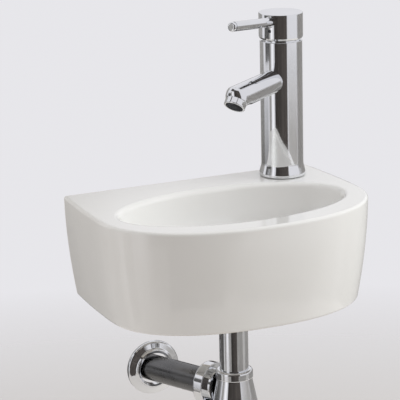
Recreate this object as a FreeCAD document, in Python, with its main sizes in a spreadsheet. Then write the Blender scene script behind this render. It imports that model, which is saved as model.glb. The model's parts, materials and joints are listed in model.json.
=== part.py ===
import FreeCAD, Part
import math
import operator
import os

import Sketcher
from FreeCAD import Matrix, Placement, Rotation, Vector

# A small ceramic basin that hangs on a wall, with a single-lever tap, a push waste and a bottle trap.
# X runs along the wall, the wall is the plane Y = 0 and the front of the basin points along -Y.
# Z is up, and Z = 0 is the height of the two wall bolts. All sizes are in millimetres and degrees.

SIZES = {
    # basin: outer shell
    "rim_height": 50,
    "basin_height": 116,
    "widest_half_width": 155.6,
    "wall_draw_in": 5.6,
    "straight_side_length": 110,
    "basin_depth": 220.5,
    "outline_power": 2.3,
    "skirt_taper": 11.8,
    "taper_power": 1.8,
    "skirt_wall": 10,
    "back_wall": 12,
    "deck_thickness": 14,
    "rim_edge_radius": 3.2,
    "foot_edge_radius": 4,
    # basin: bowl and drain seat
    "side_rim": 25.6,
    "bowl_half_width": 70.5,
    "bowl_centre": 118.6,
    "bowl_depth": 70,
    "bowl_power": 3,
    "bowl_wall": 10,
    "bowl_floor": 12,
    "lip_radius": 6,
    "drain_distance": 114,
    "drain_radius": 22.5,
    "recess_radius": 32,
    "recess_depth": 2,
    "drain_boss_radius": 33,
    # wall fixings
    "bolt_spread": 150,
    "bolt_radius": 5,
    "bolt_in_wall": 60,
    "bolt_clear_end": 38,
    "bolt_end_chamfer": 1.25,
    "bolt_point_radius": 1.25,
    "bolt_point_length": 7.5,
    "sleeve_radius": 7.5,
    "sleeve_flange_radius": 13,
    "sleeve_flange": 2,
    "washer_radius": 11.5,
    "washer_thickness": 2,
    "bolt_nut_height": 8,
    "bolt_nut_corner": 9.8,
    "bolt_nut_chamfer": 1,
    "thread_play": 0.05,
    "bolt_groove_depth": 0.7,
    "bolt_groove_half": 1.5,
    # tap: place, body and spout
    "tap_from_side": 50.6,
    "tap_from_wall": 30,
    "tap_turn_angle": 33,
    "tap_hole_radius": 17.5,
    "base_seal_height": 0.8,
    "base_seal_inset": 2,
    "base_seal_overhang": 1,
    "body_radius": 23.8,
    "body_top": 155.5,
    "foot_radius": 26.2,
    "foot_height": 4,
    "foot_low_edge": 0.6,
    "foot_top_edge": 1.2,
    "body_top_edge": 0.6,
    "flare_height": 13,
    "flare_radius": 18,
    "chamber_radius": 18,
    "chamber_depth": 32.5,
    "waterway_radius": 4.3,
    "waterway_forward": 6,
    "waterway_side": 8.5,
    "inlet_thread_radius": 4.5,
    "inlet_thread_depth": 15,
    "mixed_way_back": 9,
    "mixed_way_radius": 4,
    "stud_radius": 4,
    "stud_back": 9,
    "stud_depth": 14,
    "stud_length": 78,
    "stud_play": 0.2,
    "spout_below_chamber": 11.1,
    "spout_slope_angle": 2.5,
    "spout_radius": 13.25,
    "spout_wall": 2,
    "spout_way_radius": 6.6,
    "spout_way_start": 4,
    "spout_start": 18.5,
    "spout_seam": 88.2,
    "seam_angle": 39.5,
    "nose_length": 9,
    "nose_shift": 4.6,
    "nose_end_radius": 12.8,
    "nozzle_radius": 11.9,
    "nozzle_length": 7.6,
    "nozzle_wall": 1.9,
    "nozzle_edge": 0.8,
    "nozzle_ledge": 1,
    "nozzle_flats": 22.2,
    "flats_length": 4.2,
    "insert_height": 5,
    "insert_recess": 1,
    "insert_hole_radius": 1.1,
    "insert_ring_radius": 6.4,
    "nozzle_seal_height": 1.2,
    "nozzle_seal_band": 2.5,
    # tap: cartridge
    "moving_gap": 0.35,
    "port_seal_height": 1.2,
    "port_seal_band": 1.6,
    "cartridge_radius": 17.8,
    "cartridge_wall": 2.3,
    "cartridge_base": 4,
    "pivot_to_top": 4,
    "disc_radius": 15,
    "disc_height": 3,
    "slider_radius": 11.4,
    "slider_height": 3.2,
    "slider_rim": 3,
    "carrier_height": 4,
    "turret_rise": 6.8,
    "turret_neck_radius": 11.5,
    "turret_play": 0.2,
    "pivot_radius": 1.5,
    "pivot_length": 25,
    "stem_side": 8,
    "stem_lean_room": 4.2,
    "stem_in_cap": 25,
    "stem_neck_radius": 1.76,
    "stem_tip_radius": 2.2,
    "stem_tip_gap": 0.4,
    "stem_arm": 8,
    "clamp_ring_bore": 13,
    "clamp_ring_height": 5.5,
    "dome_radius": 20.8,
    "dome_height": 2,
    "dome_bore": 14,
    "dome_edge": 0.8,
    # tap: handle
    "cap_radius": 24.8,
    "cap_gap": 2.5,
    "cap_height": 29,
    "cap_skirt": 2.1,
    "cap_cavity": 7,
    "cap_cavity_edge": 1.5,
    "cap_edge_radius": 0.8,
    "cap_chamfer": 2,
    "lever_above_rim": 21,
    "lever_slope_angle": 5.8,
    "lever_radius": 5.3,
    "lever_reach": 105.5,
    "lever_recess_radius": 6.4,
    "lever_recess": 1.4,
    "lever_thread_radius": 3,
    "lever_thread_gap": 4,
    "lever_groove": 1.8,
    "lever_groove_depth": 1,
    "lever_tip_edge": 2.2,
    "lever_button": 3,
    "screw_above_rim": 10.8,
    "screw_radius": 2,
    "screw_length": 10,
    "screw_key_corner": 1.15,
    "screw_key_depth": 2,
    # tap: fixing under the deck
    "horseshoe_radius": 22,
    "horseshoe_flat": 16,
    "rubber_height": 2,
    "plate_height": 2.5,
    "hose_gap_half_width": 13.5,
    "hose_gap_start": 3.5,
    "nut_flange_radius": 11,
    "nut_flange_height": 2,
    "fixing_nut_height": 16,
    "fixing_nut_radius": 6.5,
    # waste
    "flange_radius": 31.4,
    "flange_thickness": 2.2,
    "flange_seal": 0.8,
    "flange_seal_inset": 1,
    "flange_fall": 0.5,
    "flange_edge": 1,
    "tail_radius": 20.9,
    "tail_bore": 17.5,
    "tail_below_basin": 26,
    "funnel_radius": 21,
    "funnel_depth": 7.5,
    "funnel_lead": 1,
    "funnel_lead_depth": 0.8,
    "bridge_height": 4,
    "bridge_drop": 22,
    "bridge_arm": 4,
    "bridge_root": 1,
    "bridge_boss_radius": 7.5,
    "under_seal_height": 3,
    "under_seal_radius": 29,
    "backnut_height": 8,
    "backnut_corner": 29.5,
    "backnut_chamfer": 1.5,
    "click_radius": 5,
    "click_flange_radius": 6.8,
    "click_bore": 3.7,
    "click_depth": 16,
    "click_flange": 2,
    "click_floor": 2,
    "plug_travel": 9,
    "plug_radius": 19.5,
    "plug_thickness": 2.6,
    "plug_sink": 0.2,
    "plug_crown": 0.6,
    "plug_edge": 1,
    "plug_seal_height": 2.4,
    "plug_stem_radius": 3.4,
    "plug_foot_radius": 12,
    "plug_foot_height": 2,
    "spring_shut_height": 1,
    "spring_radius": 2.6,
    "spring_wire": 0.45,
    "spring_turns": 7,
    # trap
    "pipe_radius": 16,
    "pipe_wall": 1.5,
    "inlet_nut_below_tail": 9.5,
    "inlet_nut_height": 20,
    "inlet_nut_radius": 23.6,
    "inlet_nut_edge": 1,
    "nut_lip": 3.5,
    "collar_radius": 19.6,
    "collar_height": 3,
    "inlet_seal_height": 2,
    "sleeve_gap": 0.15,
    "dip_bottom": 277,
    "top_nut_top": 190,
    "top_nut_height": 10,
    "top_nut_radius": 20.8,
    "top_nut_low_edge": 1,
    "top_nut_top_edge": 3,
    "trap_neck_radius": 18,
    "trap_seal_height": 3.5,
    "trap_wall": 2,
    "shoulder_radius": 19.6,
    "trap_radius": 31,
    "trap_lip": 2,
    "trap_shoulder_edge": 4,
    "trap_shoulder_bottom": 256,
    "trap_bottom": 268,
    "cup_radius": 32.5,
    "cup_top": 258,
    "cup_bottom": 300,
    "cup_wall": 2.5,
    "cup_corner": 9,
    "cup_rim_edge": 0.8,
    "cup_seal_height": 2,
    "outlet_drop": 215,
    "outlet_angle": 24.5,
    "outlet_radius": 15,
    "outlet_wall": 1.4,
    "boss_radius": 18.5,
    "boss_end": 36,
    "boss_step": 24,
    "boss_start": 21.3,
    "outlet_nut_start": 28.2,
    "outlet_nut_length": 14,
    "outlet_nut_radius": 24.5,
    "outlet_nut_edge": 1,
    "outlet_nut_nose": 3,
    "outlet_seal_length": 3,
    "outlet_in_wall": 20,
    "outlet_end_radius": 14.75,
    "outlet_end_length": 16,
    "wall_flange_radius": 31.5,
    "wall_flange_height": 9,
    "wall_flange_hub": 21.5,
    "wall_flange_bore": 18.7,
    "wall_flange_sheet": 1.5,
    "wall_flange_back_edge": 0.6,
    "wall_flange_rim_height": 4.5,
    "wall_flange_rim_edge": 3,
    "wall_flange_root": 1.5,
    "wall_flange_collar": 2.5,
    "wall_flange_dish": 3,
    "wall_flange_hub_edge": 1,
    # cutting tools reach this far past what they cut
    "cut_past": 1,
}


def fill_sheet(document):
    """Write each driving size to a sheet row: its name, its value and its alias."""
    table = document.addObject("Spreadsheet::Sheet", "Sizes")
    for row, (name, number) in enumerate(SIZES.items(), start=1):
        table.set(f"A{row}", name)
        table.set(f"B{row}", str(number))
        table.setAlias(f"B{row}", name)
    document.recompute()
    return table


doc = FreeCAD.newDocument("WallHungBasin")
sheet = fill_sheet(doc)

OPERATIONS = {"+": operator.add, "-": operator.sub, "*": operator.mul, "/": operator.truediv}


class Size:
    """A number together with the sheet formula that gives it."""

    def __init__(self, number, formula):
        self.number = float(number)
        self.formula = formula

    def __add__(self, other):
        return joined(self, "+", other)

    def __radd__(self, other):
        return joined(other, "+", self)

    def __sub__(self, other):
        return joined(self, "-", other)

    def __rsub__(self, other):
        return joined(other, "-", self)

    def __mul__(self, other):
        return joined(self, "*", other)

    def __rmul__(self, other):
        return joined(other, "*", self)

    def __truediv__(self, other):
        return joined(self, "/", other)

    def __neg__(self):
        return joined(0, "-", self)


def as_size(thing):
    """Return the thing as a Size, so that plain numbers can stand in formulas."""
    return thing if isinstance(thing, Size) else Size(thing, repr(thing))


def joined(first, sign, second):
    """Return two sizes joined by an arithmetic sign."""
    first, second = as_size(first), as_size(second)
    number = OPERATIONS[sign](first.number, second.number)
    return Size(number, f"({first.formula} {sign} {second.formula})")


def sine(angle):
    return Size(math.sin(math.radians(angle.number)), f"sin({angle.formula})")


def cosine(angle):
    return Size(math.cos(math.radians(angle.number)), f"cos({angle.formula})")


def tangent(angle):
    return Size(math.tan(math.radians(angle.number)), f"tan({angle.formula})")


class Sheet:
    """The driving sizes by name, read back from the sheet."""

    def __getattr__(self, name):
        return Size(sheet.get(name), f"Sizes.{name}")


S = Sheet()

# Heights that several pieces share, measured from the wall bolts.
RIM = S.rim_height
BASIN_FOOT = RIM - S.basin_height
BOWL_FLOOR = RIM - S.bowl_depth
DRAIN_SEAT = BOWL_FLOOR - S.recess_depth
DRAIN_UNDERSIDE = BOWL_FLOOR - S.bowl_floor
TAIL_BOTTOM = DRAIN_UNDERSIDE - S.tail_below_basin

# Widths that follow the basin's widest place.
WALL_HALF_WIDTH = S.widest_half_width - S.wall_draw_in
BOWL_HALF_LENGTH = S.widest_half_width - S.side_rim
TAP_SIDE = S.widest_half_width - S.tap_from_side

# Heights inside the tap, measured from the deck: the cartridge is a stack on the chamber's floor.
CHAMBER_FLOOR = S.body_top - S.chamber_depth
SPOUT_LEVEL = CHAMBER_FLOOR - S.spout_below_chamber
CARTRIDGE_SEAT = CHAMBER_FLOOR + S.port_seal_height
DISC_BOTTOM = CARTRIDGE_SEAT + S.cartridge_base
DISC_TOP = DISC_BOTTOM + S.disc_height
SLIDER_TOP = DISC_TOP + S.slider_height
CARRIER_TOP = SLIDER_TOP + S.carrier_height
STEM_TIP = SLIDER_TOP + S.stem_tip_radius + S.stem_tip_gap
PIVOT = STEM_TIP + S.stem_arm
CARTRIDGE_TOP = PIVOT + S.pivot_to_top
CAP_BOTTOM = S.body_top + S.cap_gap
CAP_TOP = CAP_BOTTOM + S.cap_height
STEM_TOP = CAP_BOTTOM + S.stem_in_cap

nodes = []


def place(piece, at=(0, 0, 0), turn=0, tilt=0):
    """Put a piece at a point, tilted about Y and then turned about Z."""
    x, y, z, turn, tilt = [as_size(number) for number in (*at, turn, tilt)]
    upright = Rotation(Vector(0, 0, 1), turn.number)
    leaning = Rotation(Vector(0, 1, 0), tilt.number)
    piece.Placement = Placement(Vector(x.number, y.number, z.number), upright * leaning)
    spot = f"create(<<vector>>; {x.formula}; {y.formula}; {z.formula})"
    about_z = f"create(<<rotation>>; create(<<vector>>; 0; 0; 1); {turn.formula})"
    about_y = f"create(<<rotation>>; create(<<vector>>; 0; 1; 0); {tilt.formula})"
    piece.setExpression("Placement", f"create(<<placement>>; {spot}; {about_z} * {about_y})")
    return piece


def node(piece, label, **spot):
    """Name a finished sub-part and put it in its place."""
    piece.Label = label
    nodes.append(piece)
    return place(piece, **spot)


def corner_arc(before, corner, after, radius):
    """Return the start, the end and the centre of the arc that rounds a corner."""
    inward = (before - corner).normalize()
    outward = (after - corner).normalize()
    half = inward.getAngle(outward) / 2
    reach = radius / math.tan(half)
    centre = corner + (inward + outward).normalize() * (radius / math.sin(half))
    return corner + inward * reach, corner + outward * reach, centre


def fix_point(sketch, shape, end, radius, height):
    """Tie a point of the sketch to its radius and height, on an axis where that is zero."""
    if radius.number == 0:
        sketch.addConstraint(Sketcher.Constraint("PointOnObject", shape, end, -2))
    else:
        index = sketch.addConstraint(Sketcher.Constraint("DistanceX", -1, 1, shape, end, radius.number))
        sketch.setExpression(f"Constraints[{index}]", radius.formula)
    if height.number == 0:
        sketch.addConstraint(Sketcher.Constraint("PointOnObject", shape, end, -1))
    else:
        index = sketch.addConstraint(Sketcher.Constraint("DistanceY", -1, 1, shape, end, height.number))
        sketch.setExpression(f"Constraints[{index}]", height.formula)


def draw_profile(sketch, corners):
    """Draw a closed profile: (radius, height) corners, with a third value where one is rounded."""
    corners = [tuple(as_size(number) for number in corner) for corner in corners]
    points = [Vector(corner[0].number, corner[1].number, 0) for corner in corners]
    count = len(corners)
    starts, ends, arcs = list(points), list(points), {}
    for index, corner in enumerate(corners):
        if len(corner) > 2:
            before, after = points[index - 1], points[(index + 1) % count]
            arcs[index] = corner_arc(before, points[index], after, corner[2].number)
            ends[index], starts[index] = arcs[index][0], arcs[index][1]
    lines = []
    for index in range(count):
        segment = Part.LineSegment(starts[index], ends[(index + 1) % count])
        lines.append(sketch.addGeometry(segment))
    for index, corner in enumerate(corners):
        coming, leaving = lines[index - 1], lines[index]
        if index not in arcs:
            sketch.addConstraint(Sketcher.Constraint("Coincident", coming, 2, leaving, 1))
            fix_point(sketch, leaving, 1, corner[0], corner[1])
            continue
        round_corner(sketch, coming, leaving, corner, points[index], arcs[index])


def round_corner(sketch, coming, leaving, corner, point, arc):
    """Add a tangent arc between two lines, whose sharp corner stays as a fixed point."""
    start, end, centre = arc
    first, last = [math.atan2(spot.y - centre.y, spot.x - centre.x) for spot in (start, end)]
    clockwise = (start - centre).cross(end - centre).z < 0
    if clockwise:
        first, last = last, first
    flat = Part.Circle(centre, Vector(0, 0, 1), corner[2].number)
    shape = sketch.addGeometry(Part.ArcOfCircle(flat, first, last))
    entry, leave = (2, 1) if clockwise else (1, 2)
    sketch.addConstraint(Sketcher.Constraint("Tangent", coming, 2, shape, entry))
    sketch.addConstraint(Sketcher.Constraint("Tangent", leaving, 1, shape, leave))
    index = sketch.addConstraint(Sketcher.Constraint("Radius", shape, corner[2].number))
    sketch.setExpression(f"Constraints[{index}]", corner[2].formula)
    ghost = sketch.addGeometry(Part.Point(point), True)
    fix_point(sketch, ghost, 1, corner[0], corner[1])
    sketch.addConstraint(Sketcher.Constraint("PointOnObject", ghost, 1, coming))
    sketch.addConstraint(Sketcher.Constraint("PointOnObject", ghost, 1, leaving))


def origin_plane(body, role):
    return next(plane for plane in body.Origin.OriginFeatures if plane.Role == role)


def new_sketch(body, role):
    """Add a sketch on one of the body's own origin planes."""
    sketch = body.newObject("Sketcher::SketchObject", "Profile")
    sketch.AttachmentSupport = (origin_plane(body, role), "")
    sketch.MapMode = "FlatFace"
    return sketch


def turned(name, corners):
    """Return a body turned about its own upright axis from a closed profile of corners."""
    body = doc.addObject("PartDesign::Body", name)
    sketch = new_sketch(body, "XZ_Plane")
    draw_profile(sketch, corners)
    turning = body.newObject("PartDesign::Revolution", "Turning")
    turning.Profile = sketch
    turning.ReferenceAxis = (sketch, ["V_Axis"])
    turning.Angle = 360
    sketch.Visibility = False
    return body


def ring(name, inner, outer, bottom, top):
    """Return a plain ring between two radii and two heights."""
    return turned(name, [(inner, bottom), (outer, bottom), (outer, top), (inner, top)])


def primitive(kind, at=(0, 0, 0), turn=0, tilt=0, **sizes):
    """Add a primitive solid whose sizes are bound to the sheet."""
    solid = doc.addObject(f"Part::{kind}", kind)
    for name, size in sizes.items():
        solid.setExpression(name, as_size(size).formula)
    return place(solid, at, turn, tilt)


def cylinder(radius, bottom, top, x=0, y=0):
    """Add an upright cylinder between two heights."""
    return primitive("Cylinder", at=(x, y, bottom), Radius=radius, Height=top - bottom)


def block(low, high):
    """Add a box between two corners."""
    lengths = [as_size(high[axis]) - low[axis] for axis in range(3)]
    return primitive("Box", at=low, Length=lengths[0], Width=lengths[1], Height=lengths[2])


def fused(solids):
    """Return one solid made of several."""
    if len(solids) == 1:
        return solids[0]
    union = doc.addObject("Part::MultiFuse", "Union")
    union.Shapes = solids
    return union


def carved(name, base, cuts):
    """Return the base with the cuts taken out of it."""
    result = doc.addObject("Part::Cut", name)
    result.Base = base
    result.Tool = fused(cuts)
    return result


def shared(name, base, limit):
    """Return what two solids have in common."""
    result = doc.addObject("Part::Common", name)
    result.Base = base
    result.Tool = limit
    return result


def hexagon(corner, bottom, top, chamfer):
    """Return a hexagonal bar with the corners of both ends turned off."""
    bar = primitive("Prism", at=(0, 0, bottom), Circumradius=corner, Height=top - bottom)
    bar.Polygon = 6
    limit = turned("Turned_corners", [
        (0, bottom),
        (corner - chamfer, bottom),
        (corner, bottom + chamfer / 2),
        (corner, top - chamfer / 2),
        (corner - chamfer, top),
        (0, top),
    ])
    return shared("Hexagon", bar, limit)


# ---------------------------------------------------------------- basin

PLAN_STEPS = 10
SIDE_STEPS = 4
LEVELS = 6
SAME_PLACE = 0.01


def plan_outline(inset, back, height):
    """Return the closed plan wire of the skirt at a height, drawn in by an inset."""
    straight, depth = S.straight_side_length.number, S.basin_depth.number
    half_wall, half_widest = WALL_HALF_WIDTH.number, S.widest_half_width.number
    power = 2 / S.outline_power.number
    side = []
    for step in range(SIDE_STEPS):
        run = back + (straight - back) * step / SIDE_STEPS
        bulge = (half_widest - half_wall) * ((straight - run) / straight) ** 2
        side.append((half_widest - bulge - inset, run))
    front = []
    for step in range(PLAN_STEPS + 1):
        angle = math.radians(90 * step / PLAN_STEPS)
        across = (half_widest - inset) * math.cos(angle) ** power if step < PLAN_STEPS else 0
        front.append((across, straight + (depth - inset - straight) * math.sin(angle) ** power))
    right = side + front
    left = [(-across, run) for across, run in reversed(right[:-1])]
    points = [Vector(across, -run, height) for across, run in right + left]
    curve = Part.BSplineCurve()
    curve.interpolate(points)
    return Part.Wire([curve.toShape(), Part.LineSegment(points[-1], points[0]).toShape()])


def skirt_solid(wall, back, bottom, top):
    """Return the tapering solid inside the skirt, drawn in by a wall, between two heights."""
    wires = []
    for level in range(LEVELS):
        height = top + (bottom - top) * level / (LEVELS - 1)
        drop = max(RIM.number - height, 0) / S.basin_height.number
        inset = wall + S.skirt_taper.number * drop ** S.taper_power.number
        wires.append(plan_outline(inset, back, height))
    return Part.makeLoft(wires, True, False)


def bowl_solid(wall, floor):
    """Return the bowl's dish, grown by a wall and a floor, with a collar that stands above the rim."""
    long_half, short_half = BOWL_HALF_LENGTH.number + wall, S.bowl_half_width.number + wall
    depth, power = S.bowl_depth.number + floor, 2 / S.bowl_power.number
    rim, collar = RIM.number, RIM.number + S.deck_thickness.number
    steps = 2 * PLAN_STEPS
    points = []
    for step in range(steps + 1):
        angle = math.radians(90 * step / steps)
        down = depth * math.cos(angle) ** power if step < steps else 0
        points.append(Vector(long_half * math.sin(angle) ** power, 0, rim - down))
    dish = Part.BSplineCurve()
    dish.interpolate(points)
    corners = [points[-1], Vector(long_half, 0, collar), Vector(0, 0, collar), points[0]]
    lines = [Part.LineSegment(*pair).toShape() for pair in zip(corners, corners[1:])]
    half = Part.Face(Part.Wire([dish.toShape(), *lines]))
    round_bowl = half.revolve(Vector(0, 0, 0), Vector(0, 0, 1), 360)
    flatten = Matrix()
    flatten.scale(1, short_half / long_half, 1)
    oval = round_bowl.transformGeometry(flatten)
    oval.translate(Vector(0, -S.bowl_centre.number, 0))
    return oval


def edges_at(shape, height, touches_wall):
    """Return the edges that lie in one level plane, along the wall or away from it."""
    found = []
    for edge in shape.Edges:
        box = edge.BoundBox
        level = max(abs(box.ZMin - height), abs(box.ZMax - height)) < SAME_PLACE
        if level and (box.YMin > -SAME_PLACE) == touches_wall:
            found.append(edge)
    return found


def upright(radius, bottom, top, x, y):
    """Return an upright cylinder shape between two heights."""
    return Part.makeCylinder(radius, top - bottom, Vector(x, y, bottom))


def basin_shape():
    """Return the cast shell: a skirt, a deck, a bowl and the flat seat of the waste."""
    rim, foot, past = RIM.number, BASIN_FOOT.number, S.cut_past.number
    shell = skirt_solid(0, -past, foot, rim)
    wide = S.widest_half_width.number + past
    corner = Vector(-wide, 0, foot - past)
    shell = shell.cut(Part.makeBox(wide * 2, past * 2, rim - foot + past * 2, corner))
    shell = shell.makeFillet(S.rim_edge_radius.number, edges_at(shell, rim, False))
    shell = shell.makeFillet(S.foot_edge_radius.number, edges_at(shell, foot, False))
    shell = shell.cut(bowl_solid(0, 0))
    lip = [edge for edge in edges_at(shell, rim, False) if edge.isClosed()]
    shell = shell.makeFillet(S.lip_radius.number, lip)

    drain = (0, -S.drain_distance.number)
    boss = upright(S.drain_boss_radius.number, DRAIN_UNDERSIDE.number, rim, *drain)
    deck_underside = rim - S.deck_thickness.number
    hollow = skirt_solid(S.skirt_wall.number, S.back_wall.number, foot, deck_underside)
    hollow = hollow.cut(bowl_solid(S.bowl_wall.number, S.bowl_floor.number)).cut(boss)
    shell = shell.cut(hollow)

    drain_hole = upright(S.drain_radius.number, foot, rim, *drain)
    recess = upright(S.recess_radius.number, DRAIN_SEAT.number, rim, *drain)
    tap_spot = (TAP_SIDE.number, -S.tap_from_wall.number)
    tap_hole = upright(S.tap_hole_radius.number, foot, rim + past, *tap_spot)
    holes = [drain_hole, recess, tap_hole]
    for side in (-1, 1):
        spot = Vector(side * S.bolt_spread.number / 2, past, 0)
        through = S.back_wall.number + past * 2
        holes.append(Part.makeCylinder(S.sleeve_radius.number, through, spot, Vector(0, -1, 0)))
    return shell.cut(holes)


def make_basin():
    basin = doc.addObject("Part::Feature", "Basin")
    basin.Shape = basin_shape()
    basin.Label = "basin"
    basin.Placement = Placement()
    nodes.append(basin)


# ---------------------------------------------------------------- wall fixings

def on_wall_bolts(name, label, make):
    """Place two copies of a fixing on the two wall bolts; their axis leaves the wall towards the room."""
    pair = []
    for side in (-1, 1):
        pair.append(place(make(), at=(S.bolt_spread / 2 * side, 0, 0), turn=-90, tilt=90))
    both = doc.addObject("Part::Compound", name)
    both.Links = pair
    node(both, label)


def make_wall_fixings():
    sleeve_end = S.back_wall + S.sleeve_flange
    washer_end = sleeve_end + S.washer_thickness
    nut_end = washer_end + S.bolt_nut_height
    bore = S.bolt_radius + S.thread_play

    def bolt():
        return turned("Bolt", [
            (0, -S.bolt_in_wall),
            (S.bolt_point_radius, -S.bolt_in_wall),
            (S.bolt_radius, S.bolt_point_length - S.bolt_in_wall),
            (S.bolt_radius, -S.bolt_groove_half),
            (S.bolt_radius - S.bolt_groove_depth, -S.bolt_groove_half),
            (S.bolt_radius - S.bolt_groove_depth, S.bolt_groove_half),
            (S.bolt_radius, S.bolt_groove_half),
            (S.bolt_radius, S.bolt_clear_end - S.bolt_end_chamfer),
            (S.bolt_radius - S.bolt_end_chamfer, S.bolt_clear_end),
            (0, S.bolt_clear_end),
        ])

    def sleeve():
        return turned("Sleeve", [
            (bore, 0),
            (S.sleeve_radius, 0),
            (S.sleeve_radius, S.back_wall),
            (S.sleeve_flange_radius, S.back_wall),
            (S.sleeve_flange_radius, sleeve_end),
            (bore, sleeve_end),
        ])

    def washer():
        return ring("Washer", bore, S.washer_radius, sleeve_end, washer_end)

    def nut():
        bar = hexagon(S.bolt_nut_corner, washer_end, nut_end, S.bolt_nut_chamfer)
        return carved("Nut", bar, [cylinder(bore, washer_end, nut_end)])

    on_wall_bolts("Wall_bolts", "wall_bolts", bolt)
    on_wall_bolts("Bolt_sleeves", "bolt_sleeves", sleeve)
    on_wall_bolts("Bolt_washers", "bolt_washers", washer)
    on_wall_bolts("Bolt_nuts", "bolt_nuts", nut)


# ---------------------------------------------------------------- tap

INSERT_HOLES = 12


def on_tap(along=0, up=0, tilt=0):
    """Return a spot in the tap's upright plane: a distance towards the spout's end and a height."""
    along, up = as_size(along), as_size(up)
    x = TAP_SIDE - along * cosine(S.tap_turn_angle)
    y = -S.tap_from_wall - along * sine(S.tap_turn_angle)
    return {"at": (x, y, RIM + up), "turn": S.tap_turn_angle, "tilt": tilt}


def level_bar(radius, start, end, height, slope=0):
    """Add a bar in the tap's plane between two distances from its axis, dropping at a slope."""
    slope = as_size(slope)
    at = (-start, 0, height - start * tangent(slope))
    length = (end - start) / cosine(slope)
    return primitive("Cylinder", at=at, tilt=-(90 + slope), Radius=radius, Height=length)


def make_tap_body():
    bottom = S.base_seal_height
    seal_bore = S.tap_hole_radius - S.base_seal_overhang
    seal_edge = S.foot_radius - S.base_seal_inset
    node(ring("Base_seal", seal_bore, seal_edge, 0, bottom), "tap_base_seal", **on_tap())

    casting = turned("Body_casting", [
        (0, bottom),
        (S.foot_radius, bottom, S.foot_low_edge),
        (S.foot_radius, S.foot_height, S.foot_top_edge),
        (S.body_radius, S.flare_height, S.flare_radius),
        (S.body_radius, S.body_top, S.body_top_edge),
        (S.chamber_radius, S.body_top),
        (S.chamber_radius, CHAMBER_FLOOR),
        (0, CHAMBER_FLOOR),
    ])
    level, slope = SPOUT_LEVEL, S.spout_slope_angle
    way_end = S.spout_start + S.cut_past
    cuts = [level_bar(S.spout_radius, S.spout_start, S.foot_radius + S.cut_past, level, slope)]
    cuts.append(level_bar(S.spout_way_radius, S.spout_way_start, way_end, level, slope))
    cuts.append(cylinder(S.mixed_way_radius, level, CHAMBER_FLOOR, x=-S.mixed_way_back))
    for side in (-1, 1):
        y = S.waterway_side * side
        cuts.append(cylinder(S.waterway_radius, bottom, CHAMBER_FLOOR, x=S.waterway_forward, y=y))
        thread_top = bottom + S.inlet_thread_depth
        cuts.append(cylinder(S.inlet_thread_radius, bottom, thread_top, x=S.waterway_forward, y=y))
    cuts.append(cylinder(S.stud_radius, bottom, bottom + S.stud_depth, x=-S.stud_back))
    node(carved("Tap_body", casting, cuts), "tap_body", **on_tap())


def seam_spot():
    """Return where the spout's slanting end seam crosses its axis, as a distance and a height."""
    return S.spout_seam, SPOUT_LEVEL - S.spout_seam * tangent(S.spout_slope_angle)


def make_spout():
    along, up = seam_spot()
    slant = -(180 - S.seam_angle)
    tube_end = S.spout_seam * 2
    outer = level_bar(S.spout_radius, S.spout_start, tube_end, SPOUT_LEVEL, S.spout_slope_angle)
    bore = S.spout_radius - S.spout_wall
    inner = level_bar(bore, S.spout_start, tube_end, SPOUT_LEVEL, S.spout_slope_angle)
    beyond = primitive(
        "Cylinder", at=(-along, 0, up), tilt=slant, Radius=S.spout_seam, Height=S.spout_seam
    )
    node(carved("Spout_tube", outer, [inner, beyond]), "spout_tube", **on_tap())

    # The nose is lofted square to its slanting seam, from the tube's oval end to the round nozzle.
    stretch = cosine(90 - S.seam_angle - S.spout_slope_angle)
    half_long = S.spout_radius / stretch
    sections = [primitive("Ellipse", MajorRadius=half_long, MinorRadius=S.spout_radius)]
    middle_long = (half_long + S.nose_end_radius) / 2
    sections.append(primitive(
        "Ellipse",
        at=(half_long - middle_long, 0, S.nose_length / 2),
        MajorRadius=middle_long,
        MinorRadius=S.spout_radius,
    ))
    end = (S.nose_shift, 0, S.nose_length)
    sections.append(primitive("Circle", at=end, Radius=S.nose_end_radius))
    nose = doc.addObject("Part::Loft", "Nose_loft")
    nose.Sections = sections
    nose.Solid = True
    way = S.nozzle_radius - S.nozzle_wall - S.nozzle_ledge
    passage = primitive("Cylinder", at=(S.nose_shift, 0, 0), Radius=way, Height=S.nose_length)
    seam = on_tap(along, up, slant)
    node(carved("Spout_nose", nose, [passage]), "spout_nose", **seam)


def nozzle_spot(depth):
    """Return a spot on the nozzle's axis, at a depth beyond the slanting seam."""
    along, up = seam_spot()
    outward, downward = sine(S.seam_angle), cosine(S.seam_angle)
    along = along + S.nose_shift * downward + depth * outward
    up = up + S.nose_shift * outward - depth * downward
    return on_tap(along, up, -(180 - S.seam_angle))


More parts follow.
